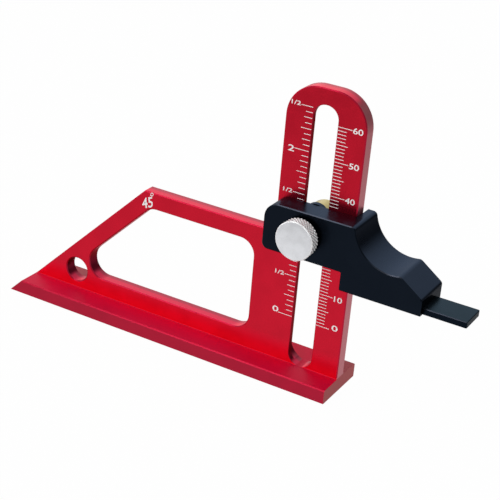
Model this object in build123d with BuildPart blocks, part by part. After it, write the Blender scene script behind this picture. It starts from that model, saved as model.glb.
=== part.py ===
"""Height gauge for a table saw: a T-section frame with a slotted post, and a clamped slider with a finger.

The origin lies on the underside of the base, in the middle plane of the web, under the axis of the post's
slot. +X points along the base to the finger, -Y to the person who reads the scales, and +Z up. All lengths
are in millimetres, and the slider stands where its top edge reads about 36 mm.
"""

import os
from math import radians, sin, tan

from build123d import *

# Frame: an extruded T section, milled to its outline from the side
frame_length = 112.7
flange_width = 19.7
flange_thickness = 4.35
web_thickness = 4.3
web_height = 44.2
cut_angle = 45.0
root_fillet = 0.3
edge_break = 0.3
base_edge_break = 0.15

# Post and its slot
post_width = 24.4
post_height = 89.2
post_corner_radius = 9.8
post_root_radius = 3.0
slot_from_end = 12.4
slot_width = 7.6
slot_floor_rise = 0.05
slot_top_wall = 4.6
slot_edge_break = 0.12
lip_thickness = 1.7
channel_width = 10.6
channel_floor_rise = 0.3

# Window in the web, and the hole to hang the gauge by
window_band = 5.2
window_sill = 10.1
window_post_margin = 6.0
window_corner_radius = 4.9
window_toe_radius = 5.3
hang_hole_radius = 3.9
hang_hole_from_toe = 20.2
hang_hole_height = 10.5

# Scales: white fill in shallow grooves beside the slot
scale_zero_height = 19.55
millimetre_pitch = 1.0
sixteenth_pitch = 1.5875
tick_width = 0.2
mark_depth = 0.1
mark_recess = 0.02
tick_edge_gap = 0.15
one_tick = 2.6
five_tick = 3.4
ten_tick = 4.2
sixteenth_tick = 2.05
eighth_tick = 2.45
quarter_tick = 3.15
half_tick = 3.6
inch_tick = 4.5
millimetre_count = 60
sixteenth_count = 40

# Slider: a plate in front of the post, and an arm that passes beside it
slider_reading = 36.2
slider_width = 14.1
plate_thickness = 6.8
plate_height = 14.1
plate_overhang = 0.25
plate_top_radius = 4.5
plate_bottom_radius = 1.8
arm_length = 24.4
arm_end_height = 4.8
arm_nose_height = 9.7
arm_nose_run = 6.95
arm_dip_radius = 11.7
arm_nose_radius = 1.6
arm_edge_radius = 1.2
ridge_width = 2.75
ridge_radius = 1.3
slider_edge_break = 0.25
step_corner_radius = 0.4

# Key on the back of the plate, which keeps the slider upright in the slot
key_depth = 1.5
key_height = 14.1

# Thumb screw, its washer, and the nut in the channel behind the slot
screw_below_top = 6.8
screw_radius = 2.0
screw_tip_length = 0.7
screw_tip_chamfer = 0.35
head_radius = 5.7
head_length = 3.8
head_face_chamfer = 0.45
head_back_chamfer = 0.3
shoulder_radius = 3.6
shoulder_length = 0.2
washer_radius = 4.5
washer_thickness = 0.9
nut_radius = 5.6
nut_thickness = 6.5
nut_chamfer = 0.3
nut_corner_radius = 0.5

# Finger, let into the underside of the arm, and its two countersunk screws
finger_thickness = 1.8
finger_width = 9.1
finger_reach = 12.55
finger_front_inset = 1.9
finger_corner_radius = 0.35
finger_edge_break = 0.2
rebate_length = 13.0
rebate_side_gap = 0.1
finger_screw_radius = 1.0
finger_screw_length = 5.0
finger_screw_head_radius = 1.9
finger_screw_head_depth = 0.9
finger_screw_taper = 45.0
finger_screw_spacing = 6.0
finger_screw_sink = 0.1
finger_socket_radius = 0.65
finger_socket_depth = 0.5

# Clearances, and how far a cutting shape runs past what it cuts
slide_clearance = 0.05
side_clearance = 0.15
key_clearance = 0.1
running_clearance = 0.05
overrun = 1.0

# Places that follow from the sizes above
frame_right = slot_from_end
toe_x = frame_right - frame_length
post_left = frame_right - post_width
web_face = web_thickness / 2
lip_back = lip_thickness - web_face
slot_bottom = flange_thickness + slot_floor_rise
slot_top = post_height - slot_top_wall
channel_bottom = slot_bottom + channel_floor_rise
channel_top = slot_top + (channel_width - slot_width) / 2
window_top = web_height - window_band
window_toe = toe_x + window_band / sin(radians(cut_angle))
plate_top = scale_zero_height + slider_reading
plate_bottom = plate_top - plate_height
plate_left = post_left - plate_overhang
plate_back = web_face + slide_clearance
plate_front = plate_back + plate_thickness
arm_bottom = slider_reading
arm_inner = frame_right + side_clearance
arm_end = frame_right + arm_length
screw_height = plate_top - screw_below_top
washer_front = plate_front + washer_thickness
head_back = washer_front + running_clearance + shoulder_length
nut_front = running_clearance - web_face + lip_thickness
nut_back = nut_front + nut_thickness
finger_front = plate_front - finger_front_inset
finger_end = arm_end + finger_reach
finger_start = arm_end - rebate_length
finger_middle_y = finger_width / 2 - finger_front
screw_middle_x = arm_end - rebate_length / 2


def millimetre_ticks():
    """Yields the height and the length of each tick of the millimetre scale."""
    for step in range(millimetre_count + 1):
        length = ten_tick if step % 10 == 0 else five_tick if step % 5 == 0 else one_tick
        yield scale_zero_height + step * millimetre_pitch, length


def inch_ticks():
    """Yields the height and the length of each tick of the inch scale."""
    lengths = {16: inch_tick, 8: half_tick, 4: quarter_tick, 2: eighth_tick, 1: sixteenth_tick}
    for step in range(sixteenth_count + 1):
        length = next(lengths[part] for part in lengths if step % part == 0)
        yield scale_zero_height + step * sixteenth_pitch, length


def draw_ticks(ticks, side):
    """Adds the ticks to the sketch in use, on the slot's right side (1) or left side (-1)."""
    for height, length in ticks:
        with Locations((side * (slot_width / 2 + tick_edge_gap + length / 2), height)):
            Rectangle(length, tick_width)


os.makedirs("parts", exist_ok=True)

# Web and post of the frame, a flat plate with broken edges
with BuildPart() as web:
    with BuildSketch(Plane.XZ) as frame_outline:
        with BuildLine():
            Polyline(
                (toe_x, 0),
                (toe_x + web_height / tan(radians(cut_angle)), web_height),
                (post_left, web_height),
                (post_left, post_height),
                (frame_right, post_height),
                (frame_right, 0),
                close=True,
            )
        make_face()
        fillet(vertices().group_by(Axis.Y)[-1], post_corner_radius)
        fillet(vertices().group_by(Axis.Y)[1].sort_by(Axis.X)[-1], post_root_radius)
    extrude(amount=web_thickness / 2, both=True)
    with BuildSketch(Plane.XZ):
        with BuildLine():
            Polyline(
                (window_toe + window_sill / tan(radians(cut_angle)), window_sill),
                (window_toe + window_top / tan(radians(cut_angle)), window_top),
                (post_left - window_post_margin, window_top),
                (post_left - window_post_margin, window_sill),
                close=True,
            )
        make_face()
        fillet(vertices().sort_by(Axis.X)[1:], window_corner_radius)
        fillet(vertices().sort_by(Axis.X)[0], window_toe_radius)
        with Locations((toe_x + hang_hole_from_toe, hang_hole_height)):
            Circle(hang_hole_radius)
    extrude(amount=web_thickness, both=True, mode=Mode.SUBTRACT)
    chamfer(faces().sort_by(Axis.Y)[0].edges(), edge_break)
    chamfer(faces().sort_by(Axis.Y)[-1].edges(), edge_break)
    with BuildSketch(Plane.XZ) as slot_outline:
        with Locations((0, (slot_bottom + slot_top) / 2)):
            SlotOverall(slot_top - slot_bottom, slot_width, rotation=90)
    extrude(amount=web_thickness, both=True, mode=Mode.SUBTRACT)
    chamfer(edges(Select.LAST).filter_by(Axis.Y, reverse=True), slot_edge_break)
    with BuildSketch(Plane.XZ.offset(-lip_back)) as channel_outline:
        with Locations((0, (channel_bottom + channel_top) / 2)):
            SlotOverall(channel_top - channel_bottom, channel_width, rotation=90)
    extrude(amount=-web_thickness, mode=Mode.SUBTRACT)

# Frame, with the flange below the web and the channel behind the slot
with BuildPart() as gauge_frame:
    with BuildSketch(Plane.YZ.offset(frame_right)):
        with Locations((0, flange_thickness / 2)):
            Rectangle(flange_width, flange_thickness)
        with Locations((0, flange_thickness)):
            Rectangle(web_thickness, 4 * root_fillet)
        roots = vertices().filter_by_position(Axis.Y, flange_thickness, flange_thickness)
        fillet(roots.filter_by_position(Axis.X, -web_face, web_face), root_fillet)
        for side in (0, -1):
            chamfer(vertices().group_by(Axis.X)[side].sort_by(Axis.Y)[0], base_edge_break)
            chamfer(vertices().group_by(Axis.X)[side].sort_by(Axis.Y)[-1], edge_break)
    extrude(amount=-frame_length)
    extrude(frame_outline.sketch, amount=flange_width, both=True, mode=Mode.INTERSECT)
    extrude(slot_outline.sketch, amount=flange_width, both=True, mode=Mode.SUBTRACT)
    extrude(channel_outline.sketch, amount=-flange_width, mode=Mode.SUBTRACT)
    add(web.part)
    with BuildSketch(Plane.XZ.offset(web_face)):
        draw_ticks(millimetre_ticks(), 1)
        draw_ticks(inch_ticks(), -1)
    extrude(amount=-mark_depth, mode=Mode.SUBTRACT)
gauge_frame.part.label = "gauge_frame"
export_step(gauge_frame.part, "parts/gauge_frame.step")

# White fill of the millimetre scale
with BuildPart() as millimetre_marks:
    with BuildSketch(Plane.XZ.offset(web_face - mark_recess)):
        draw_ticks(millimetre_ticks(), 1)
    extrude(amount=mark_recess - mark_depth)
millimetre_marks.part.label = "millimetre_marks"
export_step(millimetre_marks.part, "parts/millimetre_marks.step")

# White fill of the inch scale
with BuildPart() as inch_marks:
    with BuildSketch(Plane.XZ.offset(web_face - mark_recess)):
        draw_ticks(inch_ticks(), -1)
    extrude(amount=mark_recess - mark_depth)
inch_marks.part.label = "inch_marks"
export_step(inch_marks.part, "parts/inch_marks.step")

# Slider body
with BuildPart() as slider_body:
    with BuildSketch(Plane.XZ.offset(plate_front)):
        ridge_end = (arm_inner + ridge_width, plate_top)
        nose = (arm_end - arm_nose_run, arm_bottom + arm_nose_height)
        with BuildLine():
            Polyline(
                nose,
                (arm_end, arm_bottom + arm_end_height),
                (arm_end, arm_bottom),
                (arm_inner, arm_bottom),
                (arm_inner, plate_bottom),
                (plate_left, plate_bottom),
                (plate_left, plate_top),
                ridge_end,
            )
            RadiusArc(ridge_end, nose, -arm_dip_radius)
        make_face()
        fillet(vertices().sort_by_distance((plate_left, plate_top))[0], plate_top_radius)
        fillet(vertices().sort_by_distance((plate_left, plate_bottom))[0], plate_bottom_radius)
        fillet(vertices().sort_by_distance((arm_inner, plate_bottom))[0], step_corner_radius)
        fillet(vertices().sort_by_distance((arm_inner, arm_bottom))[0], step_corner_radius)
        fillet(vertices().sort_by_distance(ridge_end)[0], ridge_radius)
        fillet(vertices().sort_by_distance(nose)[0], arm_nose_radius)
        fillet(vertices().sort_by_distance((arm_end, arm_bottom + arm_end_height))[0], arm_edge_radius)
    extrude(amount=-slider_width)
    with BuildSketch(Plane.XZ.offset(plate_back)):
        with Locations(((plate_left - overrun + arm_inner) / 2, (plate_top + arm_bottom) / 2)):
            Rectangle(arm_inner - plate_left + overrun, plate_top - arm_bottom + 2 * overrun)
    extrude(amount=-slider_width, mode=Mode.SUBTRACT)
    chamfer(faces().sort_by(Axis.Y)[0].edges(), slider_edge_break)
    chamfer(faces().sort_by(Axis.Y)[-1].edges(), slider_edge_break)
    with BuildSketch(Plane.XZ.offset(plate_back)):
        with Locations((0, screw_height)):
            SlotOverall(key_height, slot_width - 2 * key_clearance, rotation=90)
    extrude(amount=-key_depth)
    with BuildSketch(Plane.XZ.offset(plate_front)):
        with Locations((0, screw_height)):
            Circle(screw_radius + running_clearance)
    extrude(amount=-slider_width, mode=Mode.SUBTRACT)
    with BuildSketch(Plane.XY.offset(arm_bottom - overrun)):
        with Locations((finger_start + (rebate_length + overrun) / 2, finger_middle_y)):
            Rectangle(rebate_length + overrun, finger_width + 2 * rebate_side_gap)
    extrude(amount=overrun + finger_thickness, mode=Mode.SUBTRACT)
    with BuildSketch(Plane.XY.offset(arm_bottom)):
        with Locations((screw_middle_x, finger_middle_y)):
            with GridLocations(finger_screw_spacing, 0, 2, 1):
                Circle(finger_screw_radius + running_clearance)
    extrude(amount=finger_screw_sink + finger_screw_length + side_clearance, mode=Mode.SUBTRACT)
slider_body.part.label = "slider_body"
export_step(slider_body.part, "parts/slider_body.step")

# Finger
with BuildPart() as finger_blade:
    with BuildSketch(Plane.XY.offset(arm_bottom)):
        with Locations(((finger_start + finger_end) / 2, finger_middle_y)):
            Rectangle(finger_end - finger_start, finger_width)
        fillet(vertices().group_by(Axis.X)[-1], finger_corner_radius)
    extrude(amount=finger_thickness)
    chamfer(edges().group_by(Axis.Z)[-1], finger_edge_break)
    under_finger = Plane((screw_middle_x, finger_middle_y, arm_bottom), x_dir=(1, 0, 0), z_dir=(0, 0, -1))
    with Locations(under_finger):
        with GridLocations(finger_screw_spacing, 0, 2, 1):
            CounterSinkHole(
                finger_screw_radius + running_clearance,
                finger_screw_head_radius + finger_screw_sink,
                counter_sink_angle=2 * finger_screw_taper,
            )
finger_blade.part.label = "finger_blade"
export_step(finger_blade.part, "parts/finger_blade.step")

# Countersunk screws of the finger
with BuildPart() as finger_screws:
    with BuildSketch(Plane.XY.offset(arm_bottom + finger_screw_sink)):
        with Locations((screw_middle_x, finger_middle_y)):
            with GridLocations(finger_screw_spacing, 0, 2, 1):
                Circle(finger_screw_head_radius - running_clearance)
    extrude(amount=finger_screw_head_depth - running_clearance, taper=finger_screw_taper)
    with BuildSketch(Plane.XY.offset(arm_bottom + finger_screw_sink)):
        with Locations((screw_middle_x, finger_middle_y)):
            with GridLocations(finger_screw_spacing, 0, 2, 1):
                Circle(finger_screw_radius)
    extrude(amount=finger_screw_length)
    with BuildSketch(Plane.XY.offset(arm_bottom + finger_screw_sink)):
        with Locations((screw_middle_x, finger_middle_y)):
            with GridLocations(finger_screw_spacing, 0, 2, 1):
                RegularPolygon(finger_socket_radius, 6)
    extrude(amount=finger_socket_depth, mode=Mode.SUBTRACT)
finger_screws.part.label = "finger_screws"
export_step(finger_screws.part, "parts/finger_screws.step")

# Washer under the head of the thumb screw
with BuildPart() as screw_washer:
    with BuildSketch(Plane.XZ.offset(plate_front)):
        with Locations((0, screw_height)):
            Circle(washer_radius)
            Circle(screw_radius + running_clearance, mode=Mode.SUBTRACT)
    extrude(amount=washer_thickness)
screw_washer.part.label = "screw_washer"
export_step(screw_washer.part, "parts/screw_washer.step")

# Thumb screw, turned in one piece
with BuildPart() as thumb_screw:
    with BuildSketch(Plane.XZ.offset(head_back)):
        with Locations((0, screw_height)):
            Circle(head_radius)
    extrude(amount=head_length)
    chamfer(faces().sort_by(Axis.Y)[0].edges(), head_face_chamfer)
    chamfer(faces().sort_by(Axis.Y)[-1].edges(), head_back_chamfer)
    with BuildSketch(Plane.XZ.offset(head_back)):
        with Locations((0, screw_height)):
            Circle(shoulder_radius)
    extrude(amount=-shoulder_length)
    with BuildSketch(Plane.XZ.offset(head_back)):
        with Locations((0, screw_height)):
            Circle(screw_radius)
    extrude(amount=-(head_back + nut_back + screw_tip_length))
    chamfer(faces().sort_by(Axis.Y)[-1].edges(), screw_tip_chamfer)
thumb_screw.part.label = "thumb_screw"
export_step(thumb_screw.part, "parts/thumb_screw.step")

# Nut with two flats, which the channel keeps from turning
with BuildPart() as clamp_nut:
    with BuildSketch(Plane.XZ.offset(-nut_front)):
        with Locations((0, screw_height)):
            Circle(nut_radius)
            Rectangle(channel_width - 2 * key_clearance, 2 * nut_radius, mode=Mode.INTERSECT)
        fillet(vertices(), nut_corner_radius)
        with Locations((0, screw_height)):
            Circle(screw_radius + running_clearance, mode=Mode.SUBTRACT)
    extrude(amount=-nut_thickness)
    rim = faces().sort_by(Axis.Y)[-1].outer_wire().edges()
    chamfer(rim, nut_chamfer)
clamp_nut.part.label = "clamp_nut"
export_step(clamp_nut.part, "parts/clamp_nut.step")
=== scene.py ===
"""The looks of a table saw height gauge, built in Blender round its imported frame.

The gauge has a red anodised frame with a slotted post, a black slider with a finger, a knurled
nickel screw and a brass nut. All lengths are in metres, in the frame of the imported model: the
origin lies on the base's underside below the axis of the post's slot, +X points to the finger,
-Y to the reader of the scales, and +Z up the post.
"""

import logging
from collections.abc import Callable, Sequence
from dataclasses import dataclass, field
from enum import Enum
from math import atan2, floor, hypot, pi, radians, tan

import bmesh
import bpy
from mathutils import Matrix, Vector


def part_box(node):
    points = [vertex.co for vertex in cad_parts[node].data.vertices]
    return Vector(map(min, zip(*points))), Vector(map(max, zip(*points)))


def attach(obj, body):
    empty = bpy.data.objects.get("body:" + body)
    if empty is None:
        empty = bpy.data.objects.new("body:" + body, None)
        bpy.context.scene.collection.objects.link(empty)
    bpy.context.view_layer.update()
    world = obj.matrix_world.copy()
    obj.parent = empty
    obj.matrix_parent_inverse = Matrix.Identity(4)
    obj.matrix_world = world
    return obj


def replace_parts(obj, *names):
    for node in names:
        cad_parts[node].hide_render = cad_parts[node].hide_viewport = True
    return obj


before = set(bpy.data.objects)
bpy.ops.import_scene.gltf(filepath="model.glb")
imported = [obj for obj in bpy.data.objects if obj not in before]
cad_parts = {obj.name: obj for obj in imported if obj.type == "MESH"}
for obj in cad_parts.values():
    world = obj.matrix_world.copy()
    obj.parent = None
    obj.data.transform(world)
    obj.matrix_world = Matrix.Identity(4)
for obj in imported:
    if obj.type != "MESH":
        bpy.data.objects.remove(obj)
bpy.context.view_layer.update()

log = logging.getLogger("height_gauge")

MM = 0.001
TOUCHING = MM / 1000
SHARP_ANGLE = radians(32)
WHITE = (1.0, 1.0, 1.0, 1.0)

# Stands flat lettering upright, so that its reader looks along +Y
FACING_READER = Matrix.Rotation(pi / 2, 4, "X")
# Where the step from "not facing that way" to "facing that way" starts and ends
TURNED = (0.5, 0.8)
# The darkest and the lightest value that a noise reaches, nearly
NOISE_RANGE = (0.3, 0.7)
# How many finer layers the noises of a grain, of a streak and of a patch have
GRAIN_DETAIL = 1.0
STREAK_DETAIL = 2.0
PATCH_DETAIL = 3.0


class Body(Enum):
    """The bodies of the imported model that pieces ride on."""

    FRAME = "gauge_frame"
    SLIDER = "slider"
    SCREW = "thumb_screw"
    NUT = "clamp_nut"


class Axis(Enum):
    """The axes that a place or a facing is read along."""

    X = "X"
    Y = "Y"
    Z = "Z"


class Blend(Enum):
    """How one colour is laid over another."""

    MIX = "MIX"
    MULTIPLY = "MULTIPLY"


def grey(level: float) -> tuple[float, float, float, float]:
    """Returns a grey as a colour."""
    return (level, level, level, 1.0)


def evenly(start: float, end: float, pitch: float) -> list[float]:
    """Returns places from start to end, with both, that lie about a pitch apart."""
    count = round((end - start) / pitch)
    return [start + (end - start) * step / count for step in range(count + 1)]


class Value:
    """A socket of a node tree that Python's operators combine through Math nodes."""

    def __init__(self, tree: "Tree", socket: bpy.types.NodeSocket) -> None:
        """Wraps a socket.

        Args:
            tree: The tree that the socket's node belongs to.
            socket: The output socket.
        """
        self.tree = tree
        self.socket = socket

    def _math(self, operation: str, *terms: "Value | float") -> "Value":
        """Returns a Math node's result on the terms."""
        settings = {"operation": operation}
        return self.tree.node("ShaderNodeMath", settings, dict(enumerate(terms)))

    def __add__(self, other: "Value | float") -> "Value":
        """Returns the sum."""
        return self._math("ADD", self, other)

    __radd__ = __add__

    def __sub__(self, other: "Value | float") -> "Value":
        """Returns the difference."""
        return self._math("SUBTRACT", self, other)

    def __rsub__(self, other: "Value | float") -> "Value":
        """Returns the difference from a number."""
        return self._math("SUBTRACT", other, self)

    def __mul__(self, other: "Value | float") -> "Value":
        """Returns the product."""
        return self._math("MULTIPLY", self, other)

    __rmul__ = __mul__

    def __abs__(self) -> "Value":
        """Returns the size without its sign."""
        return self._math("ABSOLUTE", self)

    def sine(self) -> "Value":
        """Returns the sine."""
        return self._math("SINE", self)

    def largest(self, other: "Value | float") -> "Value":
        """Returns the larger of the two."""
        return self._math("MAXIMUM", self, other)

    def step(self, low: float, high: float) -> "Value":
        """Returns a smooth step from 0 at low to 1 at high.

        Args:
            low: Where the step starts.
            high: Where it ends.

        Returns:
            The step's value.
        """
        return self.tree.node(
            "ShaderNodeMapRange",
            {"interpolation_type": "SMOOTHSTEP"},
            {"Value": self, "From Min": low, "From Max": high},
        )


class Tree:
    """A node tree that a finish fills through one method."""

    def __init__(self, tree: bpy.types.NodeTree) -> None:
        """Empties a node tree and keeps it.

        Args:
            tree: The tree to fill.
        """
        self.tree = tree
        tree.nodes.clear()

    def node(
        self,
        kind: str,
        settings: dict[str, object] | None = None,
        sockets: dict[int | str, object] | None = None,
        output: int | str = 0,
    ) -> Value:
        """Adds a node, sets it up and returns one of its outputs.

        Args:
            kind: The node's type.
            settings: Its properties, which are set first.
            sockets: Numbers, colours or links for its input sockets.
            output: The output to return.

        Returns:
            The wrapped output socket.
        """
        made = self.tree.nodes.new(kind)
        for name, setting in (settings or {}).items():
            setattr(made, name, setting)
        for name, term in (sockets or {}).items():
            if isinstance(term, Value):
                self.tree.links.new(term.socket, made.inputs[name])
            else:
                made.inputs[name].default_value = term
        return Value(self, made.outputs[output] if made.outputs else None)

    def vector(self, operation: str, *terms: object, output: int | str = 0) -> Value:
        """Returns a Vector Math node's result on the terms."""
        settings = {"operation": operation}
        return self.node("ShaderNodeVectorMath", settings, dict(enumerate(terms)), output)

    def place(
        self, scale: Sequence[float] = (1, 1, 1), centre: Sequence[float] = (0, 0, 0)
    ) -> Value:
        """Returns object coordinates, centred and then stretched.

        Args:
            scale: How far each axis is stretched.
            centre: The point that becomes the origin.

        Returns:
            The coordinates.
        """
        point = self.node("ShaderNodeTexCoord", output="Object")
        return self.vector("MULTIPLY", self.vector("SUBTRACT", point, tuple(centre)), tuple(scale))

    def radius(self, scale: Sequence[float], centre: Sequence[float]) -> Value:
        """Returns the distance from a point, in stretched object coordinates."""
        return self.vector("LENGTH", self.place(scale, centre), output="Value")

    def share(self, source: Value, axis: Axis) -> Value:
        """Returns a vector's part along an axis."""
        return self.node("ShaderNodeSeparateXYZ", {}, {0: source}, axis.value)

    def facing(self, axis: Axis) -> Value:
        """Returns how far the surface faces along an axis, from -1 to 1."""
        return self.share(self.node("ShaderNodeTexCoord", output="Normal"), axis)

    def along(self, axis: Axis) -> Value:
        """Returns the place along an axis, in metres."""
        return self.share(self.place(), axis)

    def noise(self, place: Value, size: float, detail: float) -> Value:
        """Returns a noise with grains of a real size.

        Args:
            place: The coordinates.
            size: The grains' size in metres.
            detail: How many finer layers it has.

        Returns:
            The noise, from about 0.3 to 0.7.
        """
        sockets = {"Vector": place, "Scale": 1 / size, "Detail": detail}
        return self.node("ShaderNodeTexNoise", {}, sockets)

    def mix(
        self, share: Value | float, first: object, second: object, way: Blend = Blend.MIX
    ) -> Value:
        """Returns a colour between two colours.

        Args:
            share: How much of the second colour there is.
            first: The first colour.
            second: The second colour.
            way: How the second is laid over the first.

        Returns:
            The mixed colour.
        """
        settings = {"data_type": "RGBA", "blend_type": way.value}
        return self.node("ShaderNodeMix", settings, {0: share, 6: first, 7: second}, output=2)

    def bump(self, height: Value, depth: float) -> Value:
        """Returns a normal bent by a height.

        Args:
            height: The height, from 0 to 1.
            depth: How deep a height of 1 is, in metres.

        Returns:
            The bent normal.
        """
        sockets = {"Height": height, "Distance": depth, "Strength": 1.0}
        return self.node("ShaderNodeBump", {}, sockets)


@dataclass(frozen=True)
class Finish:
    """A surface finish, with what all finishes share."""

    name: str
    slot: str
    colour: tuple[float, float, float]

    def rgba(self, factor: float = 1.0) -> tuple[float, float, float, float]:
        """Returns the colour with full alpha, made lighter or darker by a factor."""
        red, green, blue = (min(1.0, part * factor) for part in self.colour)
        return (red, green, blue, 1.0)

    def surface(self, tree: Tree) -> dict[str, object]:
        """Returns the sockets of the finish's shader. Each finish has its own."""
        raise NotImplementedError

    def material(self) -> bpy.types.Material:
        """Builds the finish's material, the first time that it is asked for.

        Returns:
            The material.
        """
        made = bpy.data.materials.get(self.name)
        if made is None:
            made = bpy.data.materials.new(self.name)
            made.use_nodes = True
            tree = Tree(made.node_tree)
            shader = tree.node("ShaderNodeBsdfPrincipled", {}, self.surface(tree))
            tree.node("ShaderNodeOutputMaterial", {}, {"Surface": shader})
        return made

    def dress(self, piece: bpy.types.Object) -> None:
        """Gives a piece this finish.

        Args:
            piece: A CAD node or a new piece.
        """
        piece.data.materials.clear()
        piece.data.materials.append(self.material())


@dataclass(frozen=True)
class Tone:
    """How one kind of surface looks under the frame's dye."""

    colour: tuple[float, float, float]
    metallic: float = 0.9
    roughness: float = 0.36
    coat: float = 0.0


class Toned:
    """The sockets of a shader whose looks go from tone to tone."""

    def __init__(self, tree: Tree, start: Tone) -> None:
        """Starts with one tone all over.

        Args:
            tree: The material's tree.
            start: The tone.
        """
        self.tree = tree
        self.colour: Value | tuple[float, ...] = (*start.colour, 1.0)
        self.metallic: Value | float = start.metallic
        self.roughness: Value | float = start.roughness
        self.coat: Value | float = start.coat

    def lay(self, share: Value, tone: Tone) -> None:
        """Lays a tone over the others.

        Args:
            share: Where it lies, from 0 to 1.
            tone: The tone.
        """
        self.colour = self.tree.mix(share, self.colour, (*tone.colour, 1.0))
        self.metallic = self.metallic + share * (tone.metallic - self.metallic)
        self.roughness = self.roughness + share * (tone.roughness - self.roughness)
        self.coat = self.coat + share * (tone.coat - self.coat)


@dataclass(frozen=True)
class Anodised(Finish):
    """Dyed anodised aluminium, with what its dyes share."""

    roughness: float = 0.3
    grain: float = 0.09 * MM
    line_pitch: float = 0.12 * MM
    line_stretch: float = 0.03
    relief: float = 0.002 * MM
    mottle: float = 6 * MM
    mottle_share: float = 0.6
    mottle_roughness: float = 0.06
    fine_roughness: float = 0.08
    darkest: float = 0.93
    lightest: float = 1.06
    tint: tuple[float, float, float] = (1.0, 1.0, 1.0)
    edge_start: tuple[float, float] = (0.35, 0.5)
    edge_end: tuple[float, float] = (0.82, 0.92)

    def broken_edges(self, tree: Tree) -> Value:
        """Returns 1 on the broken edges round the front and the back, which face half sideways."""
        across = abs(tree.facing(Axis.Y))
        return across.step(*self.edge_start) * (1 - across.step(*self.edge_end))

    def fine(self, tree: Tree, milled: Value) -> Value:
        """Returns the fine texture: a cutter's lines, or the grain that blasting leaves.

        Args:
            tree: The material's tree.
            milled: Where the surface is milled, from 0 to 1.

        Returns:
            The texture, as a noise.
        """
        stretched = tree.place((1, self.line_stretch, 1))
        cutter_lines = tree.noise(stretched, self.line_pitch, GRAIN_DETAIL)
        blasted = tree.noise(tree.place(), self.grain, GRAIN_DETAIL)
        return milled * cutter_lines + (1 - milled) * blasted

    def patches(self, tree: Tree) -> Value:
        """Returns the broad soft patches of the dye."""
        return tree.noise(tree.place(), self.mottle, PATCH_DETAIL).step(*NOISE_RANGE)

    def shade(self, patches: Value, fine: Value) -> Value:
        """Returns how light the dye is, from 0 to 1."""
        return patches * self.mottle_share + fine * (1 - self.mottle_share)

    def uneven(self, patches: Value, fine: Value) -> Value:
        """Returns how much rougher or smoother than usual the surface is."""
        return (patches - 0.5) * self.mottle_roughness + (fine - 0.5) * self.fine_roughness


@dataclass(frozen=True)
class BlackDye(Anodised):
    """The slider's black dye, with painted light: paler tops, a lighter tone on the faces that
    face +X, and a painted highlight on the broken edges that face up.
    """

    # edge is the colour of the painted highlight on the broken edges that face up
    edge: tuple[float, float, float] = (0.04, 0.046, 0.062)
    # painted light: the faces that face up get this paler colour
    painted_top_light: tuple[float, float, float] = (0.044, 0.062, 0.098)
    # painted light: the faces that face +X get this lighter colour
    painted_end_light: tuple[float, float, float] = (0.009, 0.012, 0.019)
    # where the painted light on the faces that face +X starts and ends
    end_light_facing: tuple[float, float] = (0.75, 0.95)
    highlight_edge_facing: tuple[float, float] = (0.6, 0.69)

    def surface(self, tree: Tree) -> dict[str, object]:
        """Returns the sockets of the shader.

        Args:
            tree: The material's tree.

        Returns:
            Values by socket name.
        """
        fine = self.fine(tree, 1 - abs(tree.facing(Axis.Y)).step(*TURNED))
        patches = self.patches(tree)
        dark, light = self.rgba(self.darkest), self.rgba(self.lightest)
        faces = tree.mix(self.shade(patches, fine), dark, light)
        end = tree.facing(Axis.X).step(*self.end_light_facing)
        up = tree.facing(Axis.Z).step(*TURNED)
        # painted highlight: the broken edges that face up get the paler edge colour
        painted_highlight_edges = self.broken_edges(tree) * tree.facing(Axis.Z).step(*self.highlight_edge_facing)
        # painted light: the faces that face +X get a lighter colour
        painted_end_light = tree.mix(end, faces, (*self.painted_end_light, 1.0))
        # painted light: paler colour laid on the faces that face up
        painted_top_light = tree.mix(up, painted_end_light, (*self.painted_top_light, 1.0))
        return {
            "Base Color": tree.mix(painted_highlight_edges, painted_top_light, (*self.edge, 1.0)),
            "Metallic": 1.0,
            "Roughness": self.roughness + self.uneven(patches, fine),
            "Specular Tint": (*self.tint, 1.0),
            "Normal": tree.bump(fine, self.relief),
        }


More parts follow.
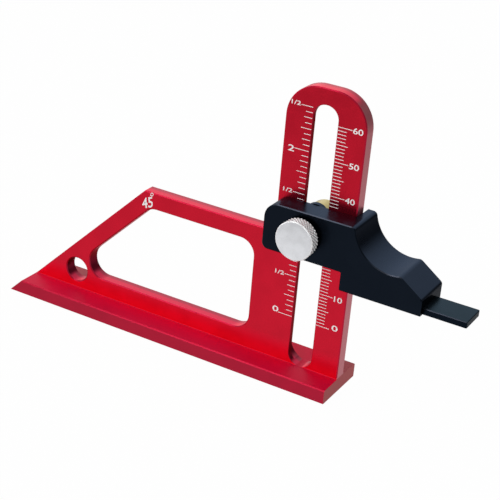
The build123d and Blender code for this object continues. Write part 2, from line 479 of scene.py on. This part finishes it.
@dataclass(frozen=True)
class RedDye(Anodised):
    """The frame's red dye, whose tone differs between blasted faces and milled edges, with painted
    light and shade laid over both.

    The pairs of lengths say where a step from one tone to the next starts and ends.
    """

    milled: Tone = Tone((0.78, 0.012, 0.08), coat=0.55)
    # painted shade: the back half of the faces that face up gets this darker red
    painted_back_top_shade: Tone = Tone((0.42, 0.03, 0.07), coat=0.6)
    # painted reflection: the web's front and back get this brighter red just above the flange
    painted_flange_reflection: Tone = Tone((1.0, 0.006, 0.04))
    # painted shade: the faces that face +X outside the slot get this darker, greyer red with a
    # strong coat
    end: Tone = Tone((0.32, 0.06, 0.08), coat=0.95)
    # painted shade: the slot's wall that faces +X gets this near-black red
    painted_slot_wall_shade: Tone = Tone((0.12, 0.006, 0.018))
    # painted reflection: the flange's top gets a brighter, rougher, less metallic red for the
    # web's red reflection
    painted_flange_top_reflection: Tone = Tone((0.72, 0.003, 0.055), metallic=0.3, roughness=0.55)
    # painted shade: the flange's top behind the web gets this darker red
    painted_flange_shade_behind_web: Tone = Tone((0.28, 0.015, 0.028), metallic=0.5, coat=0.35)
    # painted shade: the flange's front face gets this darker red
    painted_flange_front_shade: Tone = Tone((0.4, 0.007, 0.032), coat=0.15)
    # painted shade: the flange's ends that face +X get this dark red
    painted_flange_end_shade: Tone = Tone((0.2, 0.01, 0.015), coat=0.5)
    # painted shade: the broken edges get this darker red, which dims their highlights
    broken: Tone = Tone((0.45, 0.012, 0.04))
    # painted shade: the broken edges at the web's root get a rougher, half-metallic red that dims
    # their highlight
    painted_root_shade: Tone = Tone((0.62, 0.004, 0.03), metallic=0.5, roughness=0.6)
    mottle_roughness: float = 0.05
    darkest: float = 0.94
    post_middle: float = -2 * MM
    outside_slot: tuple[float, float] = (4.1 * MM, 5.1 * MM)
    beside_post: tuple[float, float] = (7.5 * MM, 10 * MM)
    behind_web: tuple[float, float] = (0.5 * MM, 1.5 * MM)
    back_half: tuple[float, float] = (-0.4 * MM, 1.0 * MM)
    beside_web: tuple[float, float] = (3 * MM, 4 * MM)
    above_flange: tuple[float, float] = (4.45 * MM, 4.65 * MM)
    above_root: tuple[float, float] = (4.75 * MM, 4.95 * MM)
    above_foot: tuple[float, float] = (5.5 * MM, 12.5 * MM)
    coat_roughness: float = 0.3
    coat_ior: float = 1.5

    def tones(self, tree: Tree, broad: Value) -> Toned:
        """Lays all the tones over the blasted front's, most of them painted light or shade.

        Args:
            tree: The material's tree.
            broad: Where the surface faces the front or the back, from 0 to 1.

        Returns:
            The shader's toned sockets.
        """
        along_x, along_y, along_z = (tree.along(axis) for axis in Axis)
        up = tree.facing(Axis.Z).step(*TURNED)
        right = tree.facing(Axis.X).step(*TURNED)
        front = (tree.facing(Axis.Y) * -1).step(*TURNED)
        outer = along_x.step(*self.outside_slot)
        low = 1 - along_z.step(*self.above_flange)
        beside = abs(along_x - self.post_middle).step(*self.beside_post)
        behind = along_y.step(*self.behind_web) * beside
        broken = self.broken_edges(tree)
        near_web = 1 - abs(along_y).step(*self.beside_web)
        at_root = near_web * (1 - along_z.step(*self.above_root))
        toned = Toned(tree, Tone(self.colour, metallic=1.0, roughness=self.roughness))
        # painted reflection of the flange, low on the web's front and back
        toned.lay(broad * (1 - along_z.step(*self.above_foot)), self.painted_flange_reflection)
        toned.lay(1 - broad, self.milled)
        # painted shade on the back half of the faces that face up
        toned.lay(up * along_y.step(*self.back_half), self.painted_back_top_shade)
        # painted shade on the faces that face +X, kept inside the slot by the next tone
        toned.lay(right, self.painted_slot_wall_shade)
        # painted shade on the faces that face +X outside the slot
        toned.lay(right * outer, self.end)
        # painted reflection of the web on the flange's top
        toned.lay(low * up, self.painted_flange_top_reflection)
        # painted shade on the flange's top behind the web
        toned.lay(low * up * behind, self.painted_flange_shade_behind_web)
        # painted shade on the flange's front face
        toned.lay(low * front, self.painted_flange_front_shade)
        # painted shade on the flange's ends that face +X
        toned.lay(low * right * outer, self.painted_flange_end_shade)
        # painted shade on the broken edges
        toned.lay(broken, self.broken)
        # painted shade in the crease at the web's root
        toned.lay(broken * at_root, self.painted_root_shade)
        return toned

    def surface(self, tree: Tree) -> dict[str, object]:
        """Returns the sockets of the shader.

        Args:
            tree: The material's tree.

        Returns:
            Values by socket name.
        """
        broad = abs(tree.facing(Axis.Y)).step(*TURNED)
        toned = self.tones(tree, broad)
        fine = self.fine(tree, 1 - broad)
        patches = self.patches(tree)
        dark, light = grey(self.darkest), grey(self.lightest)
        shade = tree.mix(self.shade(patches, fine), dark, light)
        return {
            "Base Color": tree.mix(1.0, toned.colour, shade, Blend.MULTIPLY),
            "Metallic": toned.metallic,
            "Roughness": toned.roughness + self.uneven(patches, fine),
            "Coat Weight": toned.coat,
            "Coat Roughness": self.coat_roughness,
            "Coat IOR": self.coat_ior,
            "Specular Tint": (*self.tint, 1.0),
            "Normal": tree.bump(fine, self.relief),
        }


@dataclass(frozen=True)
class TurnedMetal(Finish):
    """Metal turned or faced on a lathe, with fine rings about an axis along Y."""

    axis: tuple[float, float, float] = (0, 0, 0)
    roughness: float = 0.25
    ring_pitch: float = 0.16 * MM
    ring_depth: float = 0.0006 * MM
    ring_share: float = 0.6
    ring_roughness: float = 0.06
    wander: float = 3.0
    streak: float = 0.5 * MM
    patch: float = 2.5 * MM
    patch_roughness: float = 0.08
    darkest: float = 0.94
    lightest: float = 1.03

    def from_axis(self, tree: Tree) -> Value:
        """Returns the distance from the axis that the metal was turned about, in metres."""
        return tree.radius((1, 0, 1), self.axis)

    def surface(self, tree: Tree) -> dict[str, object]:
        """Returns the sockets of the shader.

        Args:
            tree: The material's tree.

        Returns:
            Values by socket name.
        """
        streaks = tree.noise(tree.place(), self.streak, STREAK_DETAIL)
        turns = self.from_axis(tree) * (2 * pi / self.ring_pitch) + streaks * self.wander
        rings = turns.sine() * 0.5 + 0.5
        patches = tree.noise(tree.place(), self.patch, PATCH_DETAIL).step(*NOISE_RANGE)
        rough = (rings - 0.5) * self.ring_roughness + (patches - 0.5) * self.patch_roughness
        relief = rings * self.ring_share + streaks * (1 - self.ring_share)
        return {
            "Base Color": tree.mix(patches, self.rgba(self.darkest), self.rgba(self.lightest)),
            "Metallic": 1.0,
            "Roughness": self.roughness + rough,
            "Normal": tree.bump(relief, self.ring_depth),
        }


@dataclass(frozen=True)
class KnurledMetal(TurnedMetal):
    """Turned metal with painted light on its knurled rim: a pale, nearly non-metallic painted
    sheen on the rim and painted shade in its grooves.

    The pairs say where a step starts and ends below the rim, in shares of the grooves' depth.
    """

    rim: float = 5.7 * MM
    groove_depth: float = 0.3 * MM
    below_grooves: tuple[float, float] = (1.3, 1.1)
    groove_floor: tuple[float, float] = (1.0, 0.72)
    face_facing: tuple[float, float] = (0.8, 0.95)
    # painted shade: the knurl's grooves get this near-black colour
    painted_groove_shade: tuple[float, float, float] = (0.02, 0.02, 0.022)
    # painted sheen: the knurled rim gets this pale colour and, with rim_metallic, turns nearly
    # non-metallic so that it reads bright
    painted_rim_sheen: tuple[float, float, float] = (0.98, 0.98, 0.99)
    rim_metallic: float = 0.1

    def above(self, radius: Value, shares: tuple[float, float]) -> Value:
        """Returns a step from 0 to 1 between two depths below the rim.

        Args:
            radius: The distance from the axis.
            shares: The two depths, in shares of the grooves' depth.

        Returns:
            The step's value.
        """
        low, high = (self.rim - share * self.groove_depth for share in shares)
        return radius.step(low, high)

    def surface(self, tree: Tree) -> dict[str, object]:
        """Returns the sockets of the shader.

        Args:
            tree: The material's tree.

        Returns:
            Values by socket name.
        """
        sockets = super().surface(tree)
        radius = self.from_axis(tree)
        outward = 1 - abs(tree.facing(Axis.Y)).step(*self.face_facing)
        outer = outward * self.above(radius, self.below_grooves)
        deep = outer * (1 - self.above(radius, self.groove_floor))
        # painted sheen on the knurled rim
        rim = tree.mix(outer, sockets["Base Color"], (*self.painted_rim_sheen, 1.0))
        # painted shade in the knurl's grooves
        sockets["Base Color"] = tree.mix(deep, rim, (*self.painted_groove_shade, 1.0))
        sockets["Metallic"] = 1 - outer * (1 - self.rim_metallic)
        return sockets


@dataclass(frozen=True)
class Enamel(Finish):
    """White enamel that fills the engraved marks."""

    roughness: float = 0.5
    grain: float = 0.15 * MM
    grain_depth: float = 0.004 * MM
    grain_roughness: float = 0.2
    darkest: float = 0.93

    def surface(self, tree: Tree) -> dict[str, object]:
        """Returns the sockets of the shader.

        Args:
            tree: The material's tree.

        Returns:
            Values by socket name.
        """
        grain = tree.noise(tree.place(), self.grain, STREAK_DETAIL)
        light = grain.step(*NOISE_RANGE)
        return {
            "Base Color": tree.mix(light, self.rgba(self.darkest), self.rgba()),
            "Roughness": self.roughness + (grain - 0.5) * self.grain_roughness,
            "Normal": tree.bump(grain, self.grain_depth),
        }


class SubAssembly:
    """Pieces that ride on one body."""

    def __init__(self, body: Body) -> None:
        """Starts without pieces.

        Args:
            body: The body that all of them ride on.
        """
        self.body = body
        self.pieces: list[bpy.types.Object] = []

    def keep(self, node: str, finish: Finish) -> None:
        """Dresses a CAD node whose shape is right as it is.

        Args:
            node: The node's name.
            finish: Its finish.
        """
        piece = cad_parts[node]
        finish.dress(piece)
        self.pieces.append(piece)

    def add(self, name: str, mesh: bpy.types.Mesh, finish: Finish) -> bpy.types.Object:
        """Adds a new piece.

        Args:
            name: The piece's name.
            mesh: Its mesh, in place.
            finish: Its finish.

        Returns:
            The piece's object.
        """
        piece = bpy.data.objects.new(name, mesh)
        bpy.context.scene.collection.objects.link(piece)
        mesh.shade_smooth()
        mesh.set_sharp_from_angle(angle=SHARP_ANGLE)
        finish.dress(piece)
        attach(piece, self.body.value)
        self.pieces.append(piece)
        return piece

    def report(self) -> None:
        """Logs each piece."""
        for piece in self.pieces:
            faces = len(piece.data.polygons)
            log.info("%s rides on %s, %d faces", piece.name, self.body.value, faces)


@dataclass(frozen=True)
class Label:
    """Words engraved in the frame's front and filled with enamel."""

    name: str
    words: str
    centre: tuple[float, float]
    size: tuple[float, float]
    weight: float = 0.012
    turn: float = 0.0
    lean: float = 0.0
    curve_steps: int = 6

    def mesh(self, front: float, proud: float) -> bpy.types.Mesh:
        """Builds the words as a closed mesh that stands a little proud of the front.

        Args:
            front: The front's place along Y.
            proud: How far the enamel stands proud of it.

        Returns:
            The mesh, in place.
        """
        text = bpy.data.curves.new(self.name, "FONT")
        text.body = self.words
        text.offset = self.weight
        text.extrude = 1.0
        text.resolution_u = self.curve_steps
        holder = bpy.data.objects.new(self.name, text)
        mesh = bpy.data.meshes.new_from_object(holder)
        bpy.data.objects.remove(holder)
        bpy.data.curves.remove(text)
        points = [vertex.co for vertex in mesh.vertices]
        low = Vector(min(point[axis] for point in points) for axis in range(3))
        high = Vector(max(point[axis] for point in points) for axis in range(3))
        span = high - low
        stretch = (self.size[0] / span.x, self.size[1] / span.y, 2 * proud / span.z)
        place = Matrix.Translation((self.centre[0], front, self.centre[1]))
        turned = Matrix.Rotation(-self.turn, 4, "Y") @ FACING_READER
        slanted = Matrix.Identity(4)
        slanted[0][1] = tan(self.lean)
        shrunk = Matrix.Diagonal((*stretch, 1.0)) @ Matrix.Translation((low + high) / -2)
        mesh.transform(place @ turned @ slanted @ shrunk)
        return mesh


@dataclass
class GaugeFrame(SubAssembly):
    """The red frame with its two scales, their numerals and the angle mark."""

    red: Finish
    white: Finish
    tens: int = 6
    inches: float = 2.5
    proud: float = 0.012 * MM
    mark_recess: float = 0.02 * MM
    ten_size: tuple[float, float] = (2.98 * MM, 1.72 * MM)
    narrow_ten_size: tuple[float, float] = (2.55 * MM, 1.72 * MM)
    digit_size: tuple[float, float] = (1.9 * MM, 1.8 * MM)
    one_size: tuple[float, float] = (0.5 * MM, 1.8 * MM)
    half_size: tuple[float, float] = (2.85 * MM, 1.25 * MM)
    ten_x: float = 9.85 * MM
    inch_x: float = -9.35 * MM
    half_x: float = -9.15 * MM
    ten_drop: float = 0.05 * MM
    inch_drop: float = 0.3 * MM
    zero_rise: float = 0.92 * MM
    half_rise: float = 0.1 * MM
    angle_centre: tuple[float, float] = (-55.01 * MM, 40.55 * MM)
    angle_size: tuple[float, float] = (4.0 * MM, 3.2 * MM)
    angle_weight: float = 0.015
    angle_turn: float = radians(23)
    angle_lean: float = radians(16)
    ring_centre: tuple[float, float] = (-53.56 * MM, 43.60 * MM)
    ring_size: tuple[float, float] = (1.15 * MM, 1.15 * MM)
    ring_weight: float = 0.0

    def __post_init__(self) -> None:
        """Starts without pieces, on the frame's body."""
        super().__init__(Body.FRAME)

    def ten_labels(self) -> list[Label]:
        """Places the numerals of the millimetre scale by the scale's own box.

        Returns:
            A label for each ten, from 0 up.
        """
        low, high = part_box("millimetre_marks")
        pitch = (high.z - low.z) / self.tens
        sizes = [self.digit_size, self.narrow_ten_size, *[self.ten_size] * (self.tens - 1)]
        made = []
        for step, size in enumerate(sizes):
            rise = -self.ten_drop if step else self.zero_rise
            centre = (self.ten_x, low.z + pitch * step + rise)
            made.append(Label(f"numeral_{10 * step}", str(10 * step), centre, size))
        return made

    def inch_labels(self) -> list[Label]:
        """Places the numerals of the inch scale by the scale's own box.

        Returns:
            The labels of the whole inches and then those of the halves.
        """
        low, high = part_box("inch_marks")
        inch = (high.z - low.z) / self.inches
        whole, halves = [], []
        for step, size in enumerate([self.digit_size, self.one_size, self.digit_size]):
            rise = -self.inch_drop if step else self.zero_rise
            centre = (self.inch_x, low.z + inch * step + rise)
            whole.append(Label(f"inch_{step}", str(step), centre, size))
            centre = (self.half_x, low.z + inch * (step + 0.5) + self.half_rise)
            halves.append(Label(f"inch_{step}_half", "1/2", centre, self.half_size))
        return [*whole, *halves]

    def angle_labels(self) -> list[Label]:
        """Places the angle mark and its degree mark, which lean with the sloping end.

        Returns:
            The two labels.
        """
        angle = (self.angle_centre, self.angle_size, self.angle_weight)
        ring = (self.ring_centre, self.ring_size, self.ring_weight)
        slope = (self.angle_turn, self.angle_lean)
        return [
            Label("angle_mark", "45", *angle, *slope),
            Label("degree_mark", "°", *ring, *slope),
        ]

    def build(self) -> None:
        """Dresses the frame and its scales and adds the labels."""
        self.keep("gauge_frame", self.red)
        self.keep("millimetre_marks", self.white)
        self.keep("inch_marks", self.white)
        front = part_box("millimetre_marks")[0].y - self.mark_recess
        for label in [*self.ten_labels(), *self.inch_labels(), *self.angle_labels()]:
            self.add(label.name, label.mesh(front, self.proud), self.white)


@dataclass
class Slider(SubAssembly):
    """The black slider with its finger, the finger's screws and the washer."""

    black: Finish
    strip: Finish
    steel: Finish
    zinc: Finish

    def __post_init__(self) -> None:
        """Starts without pieces, on the slider's body."""
        super().__init__(Body.SLIDER)

    def build(self) -> None:
        """Dresses the slider's nodes."""
        self.keep("slider_body", self.black)
        self.keep("finger_blade", self.strip)
        self.keep("finger_screws", self.steel)
        self.keep("screw_washer", self.zinc)


def triangle_wave(turns: float) -> float:
    """Returns 0 halfway through each turn and 1 at its ends."""
    return abs(2 * (turns - floor(turns)) - 1)


@dataclass
class ThumbScrew(SubAssembly):
    """The knurled thumb screw, turned in one piece with its threaded shank."""

    nickel: Finish
    head_length: float = 3.8 * MM
    face_chamfer: float = 0.24 * MM
    back_chamfer: float = 0.3 * MM
    edge_round: float = 0.06 * MM
    edge_steps: int = 3
    knurl_teeth: int = 34
    knurl_steps: int = 10
    knurl_length: float = 1.05 * MM
    knurl_depth: float = 0.3 * MM
    knurl_fade: float = 0.05 * MM
    shoulder_radius: float = 3.6 * MM
    shoulder_length: float = 0.2 * MM
    shank_radius: float = 2.0 * MM
    tip_chamfer: float = 0.35 * MM
    thread_pitch: float = 0.7 * MM
    thread_depth: float = 0.4 * MM
    thread_steps: int = 8
    shank_sides: int = 64

    def __post_init__(self) -> None:
        """Starts without pieces, on the screw's body, and reads the node's place."""
        super().__init__(Body.SCREW)
        low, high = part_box("thumb_screw")
        self.radius = (high.x - low.x) / 2
        self.height = (low.z + high.z) / 2
        self.face = low.y
        self.back = low.y + self.head_length
        self.rim_start = self.face + self.face_chamfer
        self.rim_end = self.back - self.back_chamfer
        self.tip = high.y
        self.thread_end = self.tip - self.tip_chamfer

    def turned(
        self, mesh: bmesh.types.BMesh, outline: Sequence[tuple[float, float]], steps: int
    ) -> None:
        """Spins an outline of radius and Y into a closed turned shape.

        Args:
            mesh: The mesh that it is added to.
            outline: Points of radius and Y, which start and end on the axis.
            steps: How many sides the shape gets.
        """
        line = [mesh.verts.new((radius, y, self.height)) for radius, y in outline]
        edges = [mesh.edges.new(pair) for pair in zip(line, line[1:])]
        bmesh.ops.spin(
            mesh,
            geom=[*line, *edges],
            cent=(0, 0, self.height),
            axis=(0, 1, 0),
            angle=2 * pi,
            steps=steps,
            use_merge=True,
        )
        bmesh.ops.remove_doubles(mesh, verts=mesh.verts, dist=TOUCHING)

    def sink(
        self, mesh: bmesh.types.BMesh, radius: float, depth: Callable[[float, float], float]
    ) -> None:
        """Sinks grooves into a turned surface.

        Args:
            mesh: The mesh.
            radius: The surface's radius.
            depth: How deep the grooves are at a share of a turn and a place along Y.
        """
        for vertex in mesh.verts:
            x, y, z = vertex.co.x, vertex.co.y, vertex.co.z - self.height
            if hypot(x, z) >= radius - self.edge_round:
                share = 1 - depth(atan2(z, x) / (2 * pi), y) / radius
                vertex.co = (x * share, y, self.height + z * share)

    def knurl(self, turn: float, y: float) -> float:
        """Works out the depth of the rim's crossed grooves.

        Args:
            turn: The share of a turn about the axis.
            y: The place along Y.

        Returns:
            The depth, which fades out at the face's end of the rim.
        """
        around = turn * self.knurl_teeth
        along = (y - (self.rim_start + self.rim_end) / 2) / self.knurl_length
        groove = 1 - min(triangle_wave(around + along), triangle_wave(around - along))
        fade = min(1.0, max(0.0, (y - self.rim_start) / self.knurl_fade))
        return self.knurl_depth * groove * fade

    def thread(self, turn: float, y: float) -> float:
        """Works out the depth of the shank's thread.

        Args:
            turn: The share of a turn about the axis.
            y: The place along Y.

        Returns:
            The depth, which fades out at the tip.
        """
        if not self.back < y < self.thread_end:
            return 0.0
        groove = 1 - triangle_wave(y / self.thread_pitch - turn)
        fade = min(1.0, (self.thread_end - y) / self.thread_pitch)
        return self.thread_depth * groove * fade

    def head(self) -> bmesh.types.BMesh:
        """Builds the head with its knurled rim.

        Returns:
            The head's mesh.
        """
        mesh = bmesh.new()
        rows = evenly(self.rim_start, self.rim_end, self.knurl_length / self.knurl_steps)
        outline = [
            (0, self.face),
            (self.radius - self.face_chamfer, self.face),
            *[(self.radius, y) for y in rows],
            (self.radius - self.back_chamfer, self.back),
            (self.shoulder_radius, self.back),
            (self.shoulder_radius, self.back + self.shoulder_length),
            (0, self.back + self.shoulder_length),
        ]
        self.turned(mesh, outline, self.knurl_teeth * self.knurl_steps)
        self.sink(mesh, self.radius, self.knurl)
        rim = self.radius - self.face_chamfer
        rims = [
            edge
            for edge in mesh.edges
            if all(self.on_ring(vertex, rim, self.face) for vertex in edge.verts)
        ]
        bmesh.ops.bevel(
            mesh,
            geom=rims,
            offset=self.edge_round,
            segments=self.edge_steps,
            profile=0.5,
            affect="EDGES",
            material=-1,
        )
        return mesh

    def on_ring(self, vertex: bmesh.types.BMVert, radius: float, y: float) -> bool:
        """Says whether a vertex lies on the ring of a radius and a place along Y."""
        away = hypot(vertex.co.x, vertex.co.z - self.height) - radius
        return hypot(away, vertex.co.y - y) < TOUCHING

    def shank(self, mesh: bmesh.types.BMesh) -> None:
        """Adds the threaded shank to the head's mesh.

        Args:
            mesh: The head's mesh.
        """
        rows = evenly(self.back, self.thread_end, self.thread_pitch / self.thread_steps)
        outline = [
            (0, self.back),
            *[(self.shank_radius, y) for y in rows],
            (self.shank_radius - self.tip_chamfer, self.tip),
            (0, self.tip),
        ]
        shank = bmesh.new()
        self.turned(shank, outline, self.shank_sides)
        self.sink(shank, self.shank_radius, self.thread)
        spare = bpy.data.meshes.new("shank")
        shank.to_mesh(spare)
        shank.free()
        mesh.from_mesh(spare)
        bpy.data.meshes.remove(spare)

    def build(self) -> None:
        """Builds the screw in place of its node."""
        mesh = self.head()
        self.shank(mesh)
        bmesh.ops.recalc_face_normals(mesh, faces=mesh.faces)
        made = bpy.data.meshes.new("knurled_screw")
        mesh.to_mesh(made)
        mesh.free()
        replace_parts(self.add("knurled_screw", made, self.nickel), "thumb_screw")


@dataclass
class ClampNut(SubAssembly):
    """The brass nut in the channel behind the slot."""

    brass: Finish

    def __post_init__(self) -> None:
        """Starts without pieces, on the nut's body."""
        super().__init__(Body.NUT)

    def build(self) -> None:
        """Dresses the nut's node."""
        self.keep("clamp_nut", self.brass)


@dataclass(frozen=True)
class Lamp:
    """A square soft lamp."""

    name: str
    place: tuple[float, float, float]
    side: float
    radiance: float
    aim: tuple[float, float, float] = (0, 0, 0.03)

    def build(self) -> None:
        """Adds the lamp, turned to its aim."""
        light = bpy.data.lights.new(self.name, "AREA")
        light.shape = "SQUARE"
        light.size = self.side
        light.energy = self.radiance * pi * self.side**2
        lamp = bpy.data.objects.new(self.name, light)
        lamp.location = self.place
        lamp.rotation_mode = "QUATERNION"
        lamp.rotation_quaternion = (Vector(self.aim) - lamp.location).to_track_quat("-Z", "Y")
        lamp.visible_camera = False
        bpy.context.scene.collection.objects.link(lamp)


@dataclass
class Studio:
    """The pale floor, the soft light and the camera.

    In mirrored rays the floor glows by near_mirrored up to near from its middle, and by
    far_mirrored beyond far. A distance along the gauge counts for length_share of itself. The sky
    goes from sky_left to sky_right over sky_turn, and to sky_high over sky_edge.
    """

    floor_radius: float = 4.0
    floor_sides: int = 96
    floor_drop: float = 0.2 * MM
    floor_albedo: float = 0.78
    floor_glow: float = 0.985
    near_mirrored: float = 0.85
    far_mirrored: float = 0.05
    near: float = 0.05
    far: float = 0.28
    middle: tuple[float, float] = (-0.03, 0.02)
    length_share: float = 0.3
    sky_left: float = 1.38
    sky_right: float = 0.15
    sky_high: float = 0.3
    sky_mirrored: float = 0.25
    sky_turn: tuple[float, float] = (-0.25, 0.45)
    sky_edge: tuple[float, float] = (0.42, 0.66)
    eye: tuple[float, float, float] = (0.14372, -0.30756, 0.20114)
    aim: tuple[float, float, float] = (-0.01353, -0.01293, 0.04185)
    roll: float = radians(4.98)
    focal_length: float = 96.37
    sensor: float = 36.0
    clip_start: float = 10 * MM
    lamps: list[Lamp] = field(
        default_factory=lambda: [
            Lamp("front_lamp", (-0.43, -0.43, 0.83), 0.35, 3.6),
            Lamp("top_lamp", (0.35, 0.1, 1.2), 0.8, 1.3),
            Lamp("fill_lamp", (0.13, -1.2, 0.16), 0.6, 2.8),
        ]
    )

    def white_to_camera(self, tree: Tree, mirrored: Value | float) -> Value:
        """Returns 1 for rays from the camera and a share for mirrored and refracted rays.

        Args:
            tree: The tree that the Light Path node joins.
            mirrored: The share for mirrored and refracted rays.

        Returns:
            The factor.
        """
        camera = tree.node("ShaderNodeLightPath", output="Is Camera Ray")
        glossy = tree.node("ShaderNodeLightPath", output="Is Glossy Ray")
        refracted = tree.node("ShaderNodeLightPath", output="Is Transmission Ray")
        return camera.largest(glossy.largest(refracted) * mirrored)

    def build_world(self) -> None:
        """Sets a world that is white to the camera, and as a light brighter near the horizon."""
        world = bpy.data.worlds.new("studio_world")
        world.use_nodes = True
        tree = Tree(world.node_tree)
        direction = tree.node("ShaderNodeTexCoord", output="Generated")
        turn = tree.share(direction, Axis.X).step(*self.sky_turn)
        height = tree.share(direction, Axis.Z).step(*self.sky_edge)
        low = tree.mix(turn, grey(self.sky_left), grey(self.sky_right))
        glow = tree.mix(height, low, grey(self.sky_high))
        light = tree.node("ShaderNodeBackground", {}, {"Color": glow, "Strength": 1.0})
        white = tree.node("ShaderNodeBackground", {}, {"Color": WHITE, "Strength": 1.0})
        seen = self.white_to_camera(tree, self.sky_mirrored)
        both = tree.node("ShaderNodeMixShader", {}, {0: seen, 1: light, 2: white})
        tree.node("ShaderNodeOutputWorld", {}, {"Surface": both})
        bpy.context.scene.world = world

    def build_floor(self) -> None:
        """Adds a round pale floor that keeps the shadow, and mirrors brightest near the gauge."""
        mesh = bmesh.new()
        sides, radius = self.floor_sides, self.floor_radius
        bmesh.ops.create_circle(mesh, cap_ends=True, segments=sides, radius=radius)
        bmesh.ops.translate(mesh, verts=mesh.verts, vec=(0, 0, -self.floor_drop))
        made = bpy.data.meshes.new("studio_floor")
        mesh.to_mesh(made)
        mesh.free()
        ground = bpy.data.objects.new("studio_floor", made)
        bpy.context.scene.collection.objects.link(ground)
        material = bpy.data.materials.new("studio_floor")
        material.use_nodes = True
        tree = Tree(material.node_tree)
        away = tree.radius((self.length_share, 1, 0), (*self.middle, 0))
        fall = self.near_mirrored - self.far_mirrored
        mirrored = self.near_mirrored - away.step(self.near, self.far) * fall
        matt = tree.node("ShaderNodeBsdfDiffuse", {}, {"Color": grey(self.floor_albedo)})
        glow = tree.node("ShaderNodeEmission", {}, {"Color": WHITE, "Strength": 1.0})
        seen = self.white_to_camera(tree, mirrored * (1 / self.floor_glow)) * self.floor_glow
        both = tree.node("ShaderNodeMixShader", {}, {0: seen, 1: matt, 2: glow})
        tree.node("ShaderNodeOutputMaterial", {}, {"Surface": both})
        made.materials.append(material)

    def build_camera(self) -> None:
        """Adds the camera at the photograph's angle."""
        data = bpy.data.cameras.new("studio_camera")
        data.lens = self.focal_length
        data.sensor_width = self.sensor
        data.clip_start = self.clip_start
        camera = bpy.data.objects.new("studio_camera", data)
        camera.location = self.eye
        camera.rotation_mode = "QUATERNION"
        towards = (Vector(self.aim) - camera.location).to_track_quat("-Z", "Y")
        rolled = towards.to_matrix().to_4x4() @ Matrix.Rotation(self.roll, 4, "Z")
        camera.rotation_quaternion = rolled.to_quaternion()
        bpy.context.scene.collection.objects.link(camera)
        bpy.context.scene.camera = camera

    def build(self) -> None:
        """Builds the world, the floor, the lamps and the camera."""
        self.build_world()
        self.build_floor()
        for lamp in self.lamps:
            lamp.build()
        self.build_camera()
        bpy.context.scene.view_settings.view_transform = "Standard"


def main() -> None:
    """Builds the gauge's sub-assemblies and the studio."""
    logging.basicConfig(level=logging.INFO, format="%(message)s")
    low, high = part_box("thumb_screw")
    axis = (0, 0, (low.z + high.z) / 2)
    dull = (0.52, 0.52, 0.52)
    rosy = (1.0, 0.3, 0.35)
    red = RedDye("red_anodising", "red_anodised", (0.56, 0.012, 0.03), 0.26, tint=rosy)
    black = BlackDye("black_anodising", "black_anodised", (0.0073, 0.0108, 0.0175), tint=dull)
    strip = BlackDye(
        "black_strip",
        "black_finger",
        (0.0048, 0.008, 0.0138),
        tint=dull,
        # painted light: paler colour on the finger's faces that face up
        painted_top_light=(0.031, 0.05, 0.068),
        # painted light: lighter colour on the finger's faces that face +X
        painted_end_light=(0.017, 0.025, 0.032),
    )
    white = Enamel("white_enamel", "white_fill", (0.96, 0.92, 0.92))
    steel = TurnedMetal("blackened_steel", "black_steel", (0.03, 0.03, 0.033), axis, 0.4)
    zinc = TurnedMetal("zinc_plate", "washer_steel", (0.5, 0.5, 0.52), axis, 0.35)
    nickel = KnurledMetal("bright_nickel", "nickel_plate", (0.77, 0.78, 0.81), axis, 0.2)
    brass = TurnedMetal("machined_brass", "nut_brass", (0.5, 0.41, 0.17), axis, 0.3)
    for group in (
        GaugeFrame(red, white),
        Slider(black, strip, steel, zinc),
        ThumbScrew(nickel),
        ClampNut(brass),
    ):
        group.build()
        group.report()
    Studio().build()


if __name__ == "__main__":
    main()
